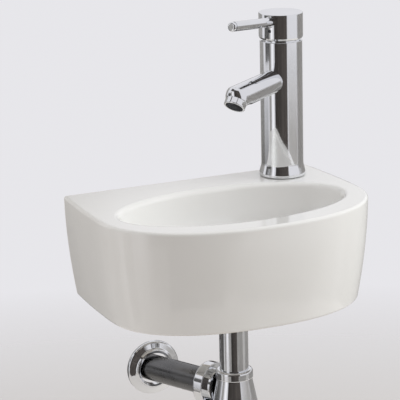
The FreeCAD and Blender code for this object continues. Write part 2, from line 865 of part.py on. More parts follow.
def make_aerator():
    spot = nozzle_spot(S.nose_length)
    bore = S.nozzle_radius - S.nozzle_wall
    sleeve = turned("Nozzle_ring", [
        (bore, 0),
        (S.nozzle_radius, 0),
        (S.nozzle_radius, S.nozzle_length, S.nozzle_edge),
        (bore, S.nozzle_length),
    ])
    flats = []
    bottom = (S.nozzle_length - S.flats_length) / 2
    half_flats, far = S.nozzle_flats / 2, S.nozzle_radius + S.cut_past
    for low, high in ((-far, -half_flats), (half_flats, far)):
        flats.append(block((-far, low, bottom), (far, high, bottom + S.flats_length)))
    node(carved("Nozzle", sleeve, flats), "aerator_housing", **spot)

    seal = ring("Nozzle_seal", bore - S.nozzle_seal_band, bore, 0, S.nozzle_seal_height)
    node(seal, "aerator_seal", **spot)

    # The insert is a disc with a ring of holes.
    insert = doc.addObject("PartDesign::Body", "Insert")
    face = new_sketch(insert, "XY_Plane")
    circle = face.addGeometry(Part.Circle(Vector(), Vector(0, 0, 1), bore.number))
    face.addConstraint(Sketcher.Constraint("Coincident", circle, 3, -1, 1))
    index = face.addConstraint(Sketcher.Constraint("Radius", circle, bore.number))
    face.setExpression(f"Constraints[{index}]", bore.formula)
    disc = insert.newObject("PartDesign::Pad", "Disc")
    disc.Profile = face
    disc.setExpression("Length", S.insert_height.formula)
    hole_face = new_sketch(insert, "XY_Plane")
    centre = Vector(S.insert_ring_radius.number, 0, 0)
    hole = hole_face.addGeometry(Part.Circle(centre, Vector(0, 0, 1), S.insert_hole_radius.number))
    fix_point(hole_face, hole, 3, S.insert_ring_radius, as_size(0))
    index = hole_face.addConstraint(Sketcher.Constraint("Radius", hole, S.insert_hole_radius.number))
    hole_face.setExpression(f"Constraints[{index}]", S.insert_hole_radius.formula)
    drilled = insert.newObject("PartDesign::Pocket", "Drilled")
    drilled.Profile = hole_face
    drilled.Type = "ThroughAll"
    drilled.Reversed = True
    holes = insert.newObject("PartDesign::PolarPattern", "Holes")
    holes.Originals = [drilled]
    holes.Axis = (hole_face, ["N_Axis"])
    holes.Angle = 360
    holes.Occurrences = INSERT_HOLES
    insert.Tip = holes
    depth = S.nose_length + S.nozzle_length - S.insert_recess - S.insert_height
    node(insert, "aerator_insert", **nozzle_spot(depth))


def make_cartridge():
    ports = [(-S.mixed_way_back, 0, S.mixed_way_radius)]
    for side in (-1, 1):
        ports.append((S.waterway_forward, S.waterway_side * side, S.waterway_radius))

    def port_holes(bottom, top):
        return [cylinder(radius, bottom, top, x=x, y=y) for x, y, radius in ports]

    rings = []
    for x, y, radius in ports:
        seal = ring("Port_seal", radius, radius + S.port_seal_band, CHAMBER_FLOOR, CARTRIDGE_SEAT)
        rings.append(place(seal, at=(x, y, 0)))
    seals = doc.addObject("Part::Compound", "Port_seals")
    seals.Links = rings
    node(seals, "cartridge_seals", **on_tap())

    inner = S.cartridge_radius - S.cartridge_wall
    shell = turned("Cartridge_shell", [
        (0, CARTRIDGE_SEAT),
        (S.cartridge_radius, CARTRIDGE_SEAT),
        (S.cartridge_radius, CARTRIDGE_TOP),
        (inner, CARTRIDGE_TOP),
        (inner, DISC_BOTTOM),
        (0, DISC_BOTTOM),
    ])
    base_holes = port_holes(CARTRIDGE_SEAT, DISC_BOTTOM)
    node(carved("Cartridge", shell, base_holes), "cartridge_housing", **on_tap())

    plate = cylinder(S.disc_radius, DISC_BOTTOM, DISC_TOP)
    node(carved("Fixed_disc", plate, port_holes(DISC_BOTTOM, DISC_TOP)), "fixed_disc", **on_tap())

    # The sliding disc has a hollow underneath that joins the ports.
    slider = cylinder(S.slider_radius, DISC_TOP, SLIDER_TOP)
    hollow = cylinder(S.slider_radius - S.slider_rim, DISC_TOP, DISC_TOP + S.slider_height / 2)
    node(carved("Sliding_disc", slider, [hollow]), "sliding_disc", **on_tap())

    carrier = cylinder(S.slider_radius, SLIDER_TOP, CARRIER_TOP)
    half = S.stem_tip_radius + S.moving_gap
    slot = block((-half, -half, SLIDER_TOP), (half, half, CARRIER_TOP))
    node(carved("Carrier", carrier, [slot]), "disc_carrier", **on_tap())

    # The turret turns with the lever; the stem leans in its slot about the pivot pin.
    turret_radius = inner - S.moving_gap
    turret_bottom = CARRIER_TOP + S.turret_play
    turret_shoulder = CARTRIDGE_TOP - S.turret_play
    turret_top = CARTRIDGE_TOP + S.turret_rise
    neck = turned("Turret_turning", [
        (0, turret_bottom),
        (turret_radius, turret_bottom),
        (turret_radius, turret_shoulder),
        (S.turret_neck_radius, turret_shoulder),
        (S.turret_neck_radius, turret_top),
        (0, turret_top),
    ])
    half_slot = S.stem_side / 2 + S.moving_gap
    slot_reach = S.stem_side / 2 + S.stem_lean_room
    stem_slot = block((-slot_reach, -half_slot, turret_bottom), (slot_reach, half_slot, turret_top))
    half_pin = S.pivot_length / 2
    pin_hole = primitive(
        "Cylinder",
        at=(0, -half_pin, PIVOT),
        turn=90,
        tilt=90,
        Radius=S.pivot_radius,
        Height=S.pivot_length,
    )
    node(carved("Turret", neck, [stem_slot, pin_hole]), "cartridge_turret", **on_tap())
    pin = primitive("Cylinder", Radius=S.pivot_radius, Height=S.pivot_length)
    x = TAP_SIDE + half_pin * sine(S.tap_turn_angle)
    y = -S.tap_from_wall - half_pin * cosine(S.tap_turn_angle)
    node(pin, "pivot_pin", at=(x, y, RIM + PIVOT), turn=S.tap_turn_angle + 90, tilt=90)

    # The stem: a square bar above, a round neck below and a ball that drives the disc carrier.
    half_side = S.stem_side / 2
    square_bottom = PIVOT - half_side
    bar = block((-half_side, -half_side, square_bottom), (half_side, half_side, STEM_TOP))
    neck_bar = cylinder(S.stem_neck_radius, STEM_TIP, square_bottom)
    ball = primitive("Sphere", at=(0, 0, STEM_TIP), Radius=S.stem_tip_radius)
    stem = fused([bar, neck_bar, ball])
    bearing = primitive(
        "Cylinder",
        at=(0, -half_side - S.cut_past, PIVOT),
        turn=90,
        tilt=90,
        Radius=S.pivot_radius + S.thread_play,
        Height=S.stem_side + S.cut_past * 2,
    )
    node(carved("Stem", stem, [bearing]), "lever_stem", **on_tap())

    clamp_top = CARTRIDGE_TOP + S.clamp_ring_height
    clamp = ring("Clamp_ring", S.clamp_ring_bore, S.chamber_radius, CARTRIDGE_TOP, clamp_top)
    node(clamp, "cartridge_nut", **on_tap())
    dome_top = S.body_top + S.dome_height
    dome = turned("Dome", [
        (S.dome_bore, S.body_top),
        (S.dome_radius, S.body_top),
        (S.dome_radius, dome_top, S.dome_edge),
        (S.dome_bore, dome_top),
    ])
    node(dome, "dome_ring", **on_tap())


def make_handle():
    cavity_top = CAP_BOTTOM + S.cap_cavity
    inner = S.cap_radius - S.cap_skirt
    shell = turned("Cap_turning", [
        (0, cavity_top),
        (inner, cavity_top, S.cap_cavity_edge),
        (inner, CAP_BOTTOM),
        (S.cap_radius - S.cap_chamfer / 2, CAP_BOTTOM),
        (S.cap_radius, CAP_BOTTOM + S.cap_chamfer),
        (S.cap_radius, CAP_TOP, S.cap_edge_radius),
        (0, CAP_TOP),
    ])
    half_side = S.stem_side / 2
    socket_bottom = cavity_top - S.cut_past
    socket = block((-half_side, -half_side, socket_bottom), (half_side, half_side, STEM_TOP))
    rise = -S.lever_slope_angle
    thread_start = half_side + S.lever_thread_gap
    past_cap = S.cap_radius + S.cut_past
    recess_start = S.cap_radius - S.lever_recess
    thread_hole = level_bar(S.lever_thread_radius, thread_start, S.cap_radius, lever_level(0), rise)
    recess = level_bar(S.lever_recess_radius, recess_start, past_cap, lever_level(0), rise)
    screw_level = CAP_BOTTOM + S.screw_above_rim
    screw_hole = level_bar(S.screw_radius, half_side, past_cap, screw_level)
    node(carved("Cap", shell, [socket, thread_hole, recess, screw_hole]), "handle_cap", **on_tap())

    # The lever is turned along its own axis, which leaves the tap's axis at a small slope.
    slant = cosine(S.lever_slope_angle)
    neck_end = recess_start / slant - thread_start / slant
    length = S.lever_reach / slant - thread_start / slant
    groove_start = length - S.lever_button - S.lever_groove
    groove_radius = S.lever_radius - S.lever_groove_depth
    lever = turned("Lever_turning", [
        (0, 0),
        (S.lever_thread_radius, 0),
        (S.lever_thread_radius, neck_end),
        (S.lever_radius, neck_end),
        (S.lever_radius, groove_start),
        (groove_radius, groove_start),
        (groove_radius, groove_start + S.lever_groove),
        (S.lever_radius, groove_start + S.lever_groove),
        (S.lever_radius, length, S.lever_tip_edge),
        (0, length),
    ])
    lean = -(90 - S.lever_slope_angle)
    node(lever, "handle_lever", **on_tap(thread_start, lever_level(thread_start), lean))

    screw = cylinder(S.screw_radius, 0, S.screw_length)
    key_depth = S.screw_key_depth
    key_bottom = S.screw_length - key_depth
    key = primitive("Prism", at=(0, 0, key_bottom), Circumradius=S.screw_key_corner, Height=key_depth)
    key.Polygon = 6
    node(carved("Grub_screw", screw, [key]), "grub_screw", **on_tap(half_side, screw_level, -90))


def lever_level(along):
    """Return the height of the lever's axis at a distance from the tap's axis."""
    at_cap = CAP_BOTTOM + S.lever_above_rim
    return at_cap + (as_size(along) - S.cap_radius) * tangent(S.lever_slope_angle)


def make_tap_fixing():
    # The clamps slip sideways round the hoses, and are cut flat beside the wall.
    top = -S.deck_thickness
    plate_top = top - S.rubber_height
    plate_bottom = plate_top - S.plate_height
    stud_hole = S.stud_radius + S.stud_play

    def horseshoe(name, bottom, upper):
        disc = cylinder(S.horseshoe_radius, bottom, upper)
        far = S.horseshoe_radius + S.cut_past
        corner_x = S.horseshoe_flat * sine(S.tap_turn_angle) - far * cosine(S.tap_turn_angle)
        corner_y = S.horseshoe_flat * cosine(S.tap_turn_angle) + far * sine(S.tap_turn_angle)
        rear = primitive(
            "Box",
            at=(corner_x, corner_y, bottom),
            turn=-S.tap_turn_angle,
            Length=far * 2,
            Width=far,
            Height=upper - bottom,
        )
        half_gap = S.hose_gap_half_width
        hoses = block((-S.hose_gap_start, -half_gap, bottom), (far, half_gap, upper))
        hole = cylinder(stud_hole, bottom, upper, x=-S.stud_back)
        return carved(name, disc, [rear, hoses, hole])

    node(horseshoe("Clamp_rubber", plate_top, top), "clamp_rubber", **on_tap())
    node(horseshoe("Clamp_plate", plate_bottom, plate_top), "clamp_plate", **on_tap())

    stud_top = S.base_seal_height + S.stud_depth
    rod = cylinder(S.stud_radius, 0, S.stud_length)
    node(rod, "fixing_stud", **on_tap(S.stud_back, stud_top - S.stud_length))
    nut_top = plate_bottom
    nut_bottom = nut_top - S.fixing_nut_height
    flange = S.nut_flange_radius
    flange_bottom = nut_top - S.nut_flange_height
    bore = S.stud_radius + S.thread_play
    long_nut = turned("Long_nut", [
        (bore, nut_bottom),
        (S.fixing_nut_radius, nut_bottom),
        (S.fixing_nut_radius, flange_bottom),
        (flange, flange_bottom),
        (flange, nut_top),
        (bore, nut_top),
    ])
    node(long_nut, "fixing_nut", **on_tap(S.stud_back))


# ---------------------------------------------------------------- waste

DRAIN = (0, -S.drain_distance, 0)


def make_waste():
    seal_top = DRAIN_SEAT + S.flange_seal
    flange_top = seal_top + S.flange_thickness
    funnel_bottom = flange_top - S.funnel_depth
    bridge_top = flange_top - S.bridge_drop
    bridge_bottom = bridge_top - S.bridge_height
    seal_edge = S.flange_radius - S.flange_seal_inset
    node(ring("Flange_seal", S.drain_radius, seal_edge, DRAIN_SEAT, seal_top), "waste_top_seal", at=DRAIN)

    tail = turned("Waste_turning", [
        (S.tail_bore, TAIL_BOTTOM),
        (S.tail_radius, TAIL_BOTTOM),
        (S.tail_radius, seal_top),
        (S.flange_radius, seal_top),
        (S.flange_radius, flange_top - S.flange_fall, S.flange_edge),
        (S.funnel_radius + S.funnel_lead, flange_top, S.flange_edge),
        (S.funnel_radius, flange_top - S.funnel_lead_depth),
        (S.tail_bore, funnel_bottom),
    ])
    arms = [cylinder(S.bridge_boss_radius, bridge_bottom, bridge_top)]
    half = S.bridge_arm / 2
    reach = S.tail_bore + S.bridge_root
    arms.append(block((-reach, -half, bridge_bottom), (reach, half, bridge_top)))
    arms.append(block((-half, -reach, bridge_bottom), (half, reach, bridge_top)))
    threaded = cylinder(S.click_radius, bridge_bottom, bridge_top)
    body = fused([tail, *arms])
    node(carved("Waste_body", body, [threaded]), "waste_body", at=DRAIN)

    under_top = DRAIN_UNDERSIDE
    under_bottom = under_top - S.under_seal_height
    node(ring("Under_seal", S.tail_radius, S.under_seal_radius, under_bottom, under_top),
         "waste_under_seal", at=DRAIN)
    nut_bottom = under_bottom - S.backnut_height
    backnut = carved(
        "Backnut",
        hexagon(S.backnut_corner, nut_bottom, under_bottom, S.backnut_chamfer),
        [cylinder(S.tail_radius, nut_bottom, under_bottom)],
    )
    node(backnut, "waste_backnut", at=DRAIN)

    make_plug(flange_top, bridge_top)


def make_plug(flange_top, bridge_top):
    """Make the push plug in its raised place, with the click housing and spring that carry it."""
    housing_top = bridge_top + S.click_flange
    bore_bottom = housing_top - S.click_depth
    housing_bottom = bore_bottom - S.click_floor
    node(turned("Click_turning", [
        (0, housing_bottom),
        (S.click_radius, housing_bottom),
        (S.click_radius, bridge_top),
        (S.click_flange_radius, bridge_top),
        (S.click_flange_radius, housing_top),
        (S.click_bore, housing_top),
        (S.click_bore, bore_bottom),
        (0, bore_bottom),
    ]), "click_housing", at=DRAIN)

    shut_top = flange_top - S.plug_sink
    cap_top = shut_top + S.plug_travel
    cap_bottom = cap_top - S.plug_thickness
    seal_bottom = cap_bottom - S.plug_seal_height
    foot_bottom = seal_bottom - S.plug_foot_height
    stem_bottom = bore_bottom + S.plug_travel + S.spring_shut_height
    node(turned("Plug_turning", [
        (0, cap_bottom),
        (S.plug_radius, cap_bottom),
        (S.plug_radius, cap_top - S.plug_crown, S.plug_edge),
        (0, cap_top),
    ]), "plug_cap", at=DRAIN)
    slope = (S.funnel_radius - S.tail_bore) / (S.funnel_depth - S.funnel_lead_depth)
    seal_narrow = S.plug_radius - slope * S.plug_seal_height
    node(turned("Seal_turning", [
        (S.plug_stem_radius, seal_bottom),
        (seal_narrow, seal_bottom),
        (S.plug_radius, cap_bottom),
        (S.plug_stem_radius, cap_bottom),
    ]), "plug_seal", at=DRAIN)
    node(turned("Stem_turning", [
        (0, stem_bottom),
        (S.plug_stem_radius, stem_bottom),
        (S.plug_stem_radius, foot_bottom),
        (S.plug_foot_radius, foot_bottom),
        (S.plug_foot_radius, seal_bottom),
        (S.plug_stem_radius, seal_bottom),
        (S.plug_stem_radius, cap_bottom),
        (0, cap_bottom),
    ]), "plug_stem", at=DRAIN)

    # The spring stands on the bottom of the bore and meets the stem's end.
    wire = S.spring_wire
    free_height = stem_bottom - bore_bottom - wire * 2
    coil = primitive("Helix", at=(0, 0, bore_bottom + wire), Radius=S.spring_radius, Height=free_height,
                     Pitch=free_height / S.spring_turns)
    start = (S.spring_radius, 0, bore_bottom + wire)
    section = primitive("Circle", at=start, turn=-90, tilt=90, Radius=wire)
    spring = doc.addObject("Part::Sweep", "Spring")
    spring.Sections = [section]
    spring.Spine = (coil, [])
    spring.Solid = True
    spring.Frenet = True
    node(spring, "click_spring", at=DRAIN)


# ---------------------------------------------------------------- trap

def along_outlet(distance):
    """Return a spot on the outlet's axis at a distance from the trap's own axis."""
    x = -(distance * sine(S.outlet_angle))
    y = distance * cosine(S.outlet_angle) - S.drain_distance
    return {"at": (x, y, RIM - S.outlet_drop), "turn": S.outlet_angle + 90, "tilt": 90}


def make_trap_inlet():
    nut_bottom = TAIL_BOTTOM - S.inlet_nut_below_tail
    nut_top = nut_bottom + S.inlet_nut_height
    collar_top = TAIL_BOTTOM - S.inlet_seal_height
    collar_bottom = collar_top - S.collar_height
    bore = S.pipe_radius - S.pipe_wall
    hole = S.pipe_radius + S.sleeve_gap
    node(turned("Inlet_nut", [
        (hole, nut_bottom),
        (S.inlet_nut_radius, nut_bottom, S.inlet_nut_edge),
        (S.inlet_nut_radius, nut_top, S.inlet_nut_edge),
        (S.tail_radius, nut_top),
        (S.tail_radius, collar_bottom),
        (hole, collar_bottom),
    ]), "inlet_nut", at=DRAIN)
    node(ring("Inlet_seal", S.pipe_radius, S.tail_radius, collar_top, TAIL_BOTTOM), "inlet_seal", at=DRAIN)
    dip = RIM - S.dip_bottom
    node(turned("Inlet_tube", [
        (bore, dip),
        (S.pipe_radius, dip),
        (S.pipe_radius, collar_bottom),
        (S.collar_radius, collar_bottom),
        (S.collar_radius, collar_top),
        (bore, collar_top),
    ]), "inlet_tube", at=DRAIN)


def make_trap_body():
    hole = S.pipe_radius + S.sleeve_gap
    nut_top = RIM - S.top_nut_top
    nut_bottom = nut_top - S.top_nut_height
    ceiling = nut_top - S.nut_lip / 2
    neck_top = ceiling - S.trap_seal_height
    node(turned("Top_nut", [
        (S.trap_neck_radius, nut_bottom),
        (S.top_nut_radius, nut_bottom, S.top_nut_low_edge),
        (S.top_nut_radius, nut_top, S.top_nut_top_edge),
        (hole, nut_top),
        (hole, ceiling),
        (S.trap_neck_radius, ceiling),
    ]), "trap_top_nut", at=DRAIN)
    node(ring("Top_seal", S.pipe_radius, S.trap_neck_radius, neck_top, ceiling), "trap_top_seal", at=DRAIN)

    # The body widens below the nut, and its skirt screws into the cup.
    shoulder = RIM - S.trap_shoulder_bottom
    lip_bottom = shoulder - S.trap_lip
    skirt_bottom = RIM - S.trap_bottom
    skirt_radius = S.cup_radius - S.cup_wall
    wall, past = S.trap_wall, S.cut_past
    outside = turned("Trap_outside", [
        (0, skirt_bottom),
        (skirt_radius, skirt_bottom),
        (skirt_radius, lip_bottom),
        (S.trap_radius, lip_bottom),
        (S.trap_radius, shoulder, S.trap_shoulder_edge),
        (S.shoulder_radius, nut_bottom),
        (S.trap_neck_radius, nut_bottom),
        (S.trap_neck_radius, neck_top),
        (0, neck_top),
    ])
    inside = turned("Trap_inside", [
        (0, skirt_bottom - past),
        (skirt_radius - wall, skirt_bottom - past),
        (skirt_radius - wall, shoulder),
        (S.shoulder_radius - wall, nut_bottom),
        (hole, nut_bottom),
        (hole, neck_top + past),
        (0, neck_top + past),
    ])
    level = RIM - S.outlet_drop
    boss = bar_on_x(S.boss_radius, S.boss_start, S.boss_end, level)
    body = fused([outside, boss])
    socket = bar_on_x(S.outlet_radius + S.sleeve_gap, S.boss_step, S.boss_end, level)
    way = bar_on_x(S.outlet_radius - wall, 0, S.boss_step, level)
    node(carved("Trap_body", body, [inside, socket, way]), "trap_body", at=DRAIN, turn=S.outlet_angle + 90)


def bar_on_x(radius, start, end, height):
    """Add a level bar along X between two distances."""
    return primitive("Cylinder", at=(start, 0, height), tilt=90, Radius=radius, Height=as_size(end) - start)


def make_trap_cup():
    top = RIM - S.cup_top
    bottom = RIM - S.cup_bottom
    bore = S.cup_radius - S.cup_wall
    floor = bottom + S.cup_wall
    skirt_bottom = RIM - S.trap_bottom
    seal_bottom = skirt_bottom - S.cup_seal_height
    ledge = bore - S.trap_wall
    node(turned("Cup", [
        (0, bottom),
        (S.cup_radius, bottom, S.cup_corner),
        (S.cup_radius, top, S.cup_rim_edge),
        (bore, top),
        (bore, seal_bottom),
        (ledge, seal_bottom),
        (ledge, floor, S.cup_corner - S.cup_wall),
        (0, floor),
    ]), "trap_cup", at=DRAIN)
    node(ring("Cup_seal", ledge, bore, seal_bottom, skirt_bottom), "cup_seal", at=DRAIN)


def make_outlet():
    hole = S.outlet_radius + S.sleeve_gap
    seal_end = S.boss_end + S.outlet_seal_length
    nut_end = S.outlet_nut_start + S.outlet_nut_length
    start = S.outlet_nut_start
    length = S.outlet_nut_length
    seal_face = seal_end - start
    node(turned("Outlet_nut", [
        (S.boss_radius, 0),
        (S.outlet_nut_radius, 0, S.outlet_nut_edge),
        (S.outlet_nut_radius, length, S.outlet_nut_nose),
        (hole, length),
        (hole, seal_face),
        (S.boss_radius, seal_face),
    ]), "outlet_nut", **along_outlet(start))
    node(ring("Outlet_seal", S.outlet_radius, S.boss_radius, 0, S.outlet_seal_length),
         "outlet_seal", **along_outlet(S.boss_end))
    reach = S.drain_distance / cosine(S.outlet_angle) + S.outlet_in_wall - S.boss_step
    pipe_bore = S.outlet_radius - S.outlet_wall
    end_start = reach - S.outlet_end_length
    node(turned("Outlet_pipe", [
        (pipe_bore, 0),
        (S.outlet_radius, 0),
        (S.outlet_radius, end_start),
        (S.outlet_end_radius, end_start),
        (S.outlet_end_radius, reach),
        (pipe_bore, reach),
    ]), "outlet_pipe", **along_outlet(S.boss_step))

    # The wall flange lies flat on the wall; its bore is wide enough for the slanting pipe.
    middle = S.wall_flange_height / 2
    centre = -((S.drain_distance - middle) * tangent(S.outlet_angle))
    sheet_gauge = S.wall_flange_sheet
    collar = S.wall_flange_height - S.wall_flange_collar
    node(turned("Wall_flange", [
        (S.wall_flange_bore, sheet_gauge),
        (S.wall_flange_hub, 0),
        (S.wall_flange_radius, 0, S.wall_flange_back_edge),
        (S.wall_flange_radius, S.wall_flange_rim_height, S.wall_flange_rim_edge),
        (S.wall_flange_hub + S.wall_flange_root, collar, S.wall_flange_dish),
        (S.wall_flange_hub, S.wall_flange_height, S.wall_flange_hub_edge),
        (S.wall_flange_bore, S.wall_flange_height),
    ]), "wall_flange", at=(centre, 0, RIM - S.outlet_drop), turn=-90, tilt=90)


# ---------------------------------------------------------------- build, check and write

def check_and_write():
    """Stop if anything failed, then write each sub-part to its own file."""
    doc.recompute()
    for thing in doc.Objects:
        if {"Invalid", "Error"} & set(thing.State):
            raise RuntimeError(f"{thing.Label} ({thing.Name}) failed: {thing.State}")
    os.makedirs("parts", exist_ok=True)
    for piece in nodes:
        shape = piece.Shape
        if shape.isNull() or not shape.isValid() or shape.Volume <= 0:
            raise RuntimeError(f"{piece.Label} has no valid solid")
        shape.exportStep(f"parts/{piece.Label}.step")
        print(f"{piece.Label}: {len(shape.Solids)} solid(s), {shape.Volume / 1000:.2f} cm3")
    print(len(nodes), "sub-parts")


make_basin()
make_wall_fixings()
make_tap_body()
make_spout()
make_aerator()
make_cartridge()
make_handle()
make_tap_fixing()
make_waste()
make_trap_inlet()
make_trap_body()
make_trap_cup()
make_outlet()
check_and_write()
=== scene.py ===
import bpy
import bmesh
import json
import math
from collections import namedtuple
from mathutils import Matrix, Vector


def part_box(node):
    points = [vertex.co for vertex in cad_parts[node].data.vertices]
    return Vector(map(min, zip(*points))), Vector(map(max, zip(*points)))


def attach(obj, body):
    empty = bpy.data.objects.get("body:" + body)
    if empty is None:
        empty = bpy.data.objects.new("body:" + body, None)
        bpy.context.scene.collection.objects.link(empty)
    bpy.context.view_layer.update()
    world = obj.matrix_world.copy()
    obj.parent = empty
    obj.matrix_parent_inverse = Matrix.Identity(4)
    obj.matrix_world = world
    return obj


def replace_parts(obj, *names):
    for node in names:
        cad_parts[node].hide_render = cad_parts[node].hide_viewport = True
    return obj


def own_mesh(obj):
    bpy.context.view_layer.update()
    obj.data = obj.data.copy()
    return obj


# A wall hung basin with its tap, waste and trap, in a plain pale studio.
# Lengths are in metres, except where a comment says millimetres.

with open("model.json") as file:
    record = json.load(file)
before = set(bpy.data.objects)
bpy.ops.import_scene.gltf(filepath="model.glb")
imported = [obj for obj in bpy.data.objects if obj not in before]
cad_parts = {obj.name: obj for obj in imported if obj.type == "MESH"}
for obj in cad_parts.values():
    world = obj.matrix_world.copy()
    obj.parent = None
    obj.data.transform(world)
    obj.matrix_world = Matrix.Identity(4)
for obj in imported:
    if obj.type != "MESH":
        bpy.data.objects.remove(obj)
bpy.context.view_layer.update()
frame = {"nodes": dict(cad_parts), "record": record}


nodes = frame["nodes"]
slots = {part["node"]: part["material_slot"] for part in frame["record"]["subparts"]}


# ---------------------------------------------------------------- materials

# Places of the Mix node's sockets, because its kinds of data share their names.
FACTOR = 0
NUMBER_INPUTS = (2, 3)
NUMBER_OUTPUT = 0
COLOUR_INPUTS = (6, 7)
COLOUR_OUTPUT = 2


class Paint:
    """A material being made: one Principled shader and the texture nodes that feed it."""

    def __init__(self, name, **values):
        self.material = bpy.data.materials.new(name)
        self.material.use_nodes = True
        self.tree = self.material.node_tree
        self.shader = next(n for n in self.tree.nodes if n.type == "BSDF_PRINCIPLED")
        self.place = self.new("ShaderNodeTexCoord").outputs["Object"]
        for socket, value in values.items():
            self.shader.inputs[socket.replace("_", " ")].default_value = value

    def new(self, kind, **settings):
        node = self.tree.nodes.new(kind)
        for key, value in settings.items():
            setattr(node, key, value)
        return node

    def link(self, source, target):
        self.tree.links.new(source, target)

    def feed(self, socket, value):
        """Give a socket a number, a colour triple or another node's output."""
        if isinstance(value, tuple):
            socket.default_value = (*value, 1.0)
        elif isinstance(value, (int, float)):
            socket.default_value = value
        else:
            self.link(value, socket)

    def scaled(self, factors):
        """The object's own coordinates, times a factor along each axis."""
        node = self.new("ShaderNodeMapping")
        node.inputs["Scale"].default_value = factors
        self.link(self.place, node.inputs["Vector"])
        return node.outputs["Vector"]

    def axis(self, letter):
        """One of the object's own coordinates."""
        node = self.new("ShaderNodeSeparateXYZ")
        self.link(self.place, node.inputs[0])
        return node.outputs[letter]

    def noise(self, scale, detail=2.0, roughness=0.5, along=None):
        """Soft clouds from 0 to 1, finer as the scale grows, or along one axis as its factor does."""
        node = self.new("ShaderNodeTexNoise")
        node.inputs["Scale"].default_value = scale
        node.inputs["Detail"].default_value = detail
        node.inputs["Roughness"].default_value = roughness
        self.link(self.scaled(along) if along else self.place, node.inputs["Vector"])
        return node.outputs["Fac"]

    def cells(self, scale):
        """A value for each of many small cells, even all over the cell."""
        node = self.new("ShaderNodeTexVoronoi", feature="F1")
        node.inputs["Scale"].default_value = scale
        self.link(self.place, node.inputs["Vector"])
        channels = self.new("ShaderNodeSeparateColor")
        self.link(node.outputs["Color"], channels.inputs[0])
        return channels.outputs[0]

    def spread(self, source, low, high, start=0.0, end=1.0):
        """A value that runs from start to end as the source runs from low to high."""
        node = self.new("ShaderNodeMapRange", clamp=True)
        for socket, value in zip(("From Min", "From Max", "To Min", "To Max"), (low, high, start, end)):
            node.inputs[socket].default_value = value
        self.link(source, node.inputs["Value"])
        return node.outputs["Result"]

    def maths(self, operation, first, second):
        node = self.new("ShaderNodeMath", operation=operation)
        self.feed(node.inputs[0], first)
        self.feed(node.inputs[1], second)
        return node.outputs["Value"]

    def mixed(self, factor, first, second):
        """A colour between two."""
        node = self.new("ShaderNodeMix", data_type="RGBA")
        self.link(factor, node.inputs[FACTOR])
        for place, value in zip(COLOUR_INPUTS, (first, second)):
            self.feed(node.inputs[place], value)
        return node.outputs[COLOUR_OUTPUT]

    def blended(self, factor, first, second):
        """A number between two."""
        node = self.new("ShaderNodeMix", data_type="FLOAT")
        self.link(factor, node.inputs[FACTOR])
        for place, value in zip(NUMBER_INPUTS, (first, second)):
            self.feed(node.inputs[place], value)
        return node.outputs[NUMBER_OUTPUT]

    def colour(self, source):
        self.link(source, self.shader.inputs["Base Color"])

    def roughness(self, source):
        self.link(source, self.shader.inputs["Roughness"])

    def tint(self, source, first, second, low=0.3, high=0.7):
        """Colour the surface from first to second as the source runs from low to high."""
        self.colour(self.mixed(self.spread(source, low, high), first, second))

    def polish(self, source, smooth, rough, low=0.3, high=0.7):
        """Let the surface's roughness run from smooth to rough as the source runs from low to high."""
        self.roughness(self.spread(source, low, high, smooth, rough))

    def bump(self, height, distance, strength):
        """Shade the surface as if it stood out by this distance where the height is 1."""
        node = self.new("ShaderNodeBump")
        node.inputs["Strength"].default_value = strength
        node.inputs["Distance"].default_value = distance
        self.link(height, node.inputs["Height"])
        self.link(node.outputs["Normal"], self.shader.inputs["Normal"])


# Glaze turns to bare clay between these distances from the wall plane, and from the basin's foot.
GLAZE_TO_BACK = 0.0012
CLAY_FROM_BACK = 0.0002
GLAZE_TO_FOOT = 0.0016
CLAY_FROM_FOOT = 0.0006
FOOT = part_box("basin")[0].z


def glazed_ceramic():
    """White gloss glaze over a vitreous body, with the ground back and foot left bare."""
    paint = Paint("glazed_ceramic", IOR=1.52, Coat_Weight=0.35, Coat_Roughness=0.03, Coat_IOR=1.5)
    drift = paint.spread(paint.noise(scale=7.0), 0.35, 0.65)
    white = paint.mixed(drift, (0.880, 0.876, 0.862), (0.905, 0.904, 0.896))
    grain = paint.noise(scale=900.0, detail=3.0)
    clay = paint.mixed(paint.spread(grain, 0.35, 0.65), (0.70, 0.66, 0.59), (0.80, 0.77, 0.71))
    behind = paint.spread(paint.axis("Y"), -GLAZE_TO_BACK, -CLAY_FROM_BACK)
    below = paint.spread(paint.axis("Z"), FOOT + GLAZE_TO_FOOT, FOOT + CLAY_FROM_FOOT)
    bare = paint.maths("MAXIMUM", behind, below)
    paint.colour(paint.mixed(bare, white, clay))
    glaze_roughness = paint.spread(paint.noise(scale=30.0, detail=3.0), 0.3, 0.7, 0.07, 0.13)
    clay_roughness = 0.82
    paint.roughness(paint.blended(bare, glaze_roughness, clay_roughness))
    ripple = paint.maths("MULTIPLY", paint.noise(scale=55.0), 0.6)
    grit = paint.maths("MULTIPLY", paint.maths("MULTIPLY", grain, bare), 0.5)
    paint.bump(paint.maths("ADD", ripple, grit), distance=0.00025, strength=0.5)
    return paint.material


def chrome():
    """Bright plating with faint smears and the slightest ripple."""
    paint = Paint("chrome", Metallic=1.0)
    paint.tint(paint.noise(scale=35.0, detail=3.0), (0.80, 0.81, 0.83), (0.86, 0.87, 0.885))
    smear = paint.noise(scale=60.0, detail=4.0, roughness=0.6, along=(1, 1, 0.35))
    paint.polish(smear, smooth=0.035, rough=0.085, low=0.45, high=0.75)
    paint.bump(paint.noise(scale=260.0), distance=0.00002, strength=0.25)
    return paint.material


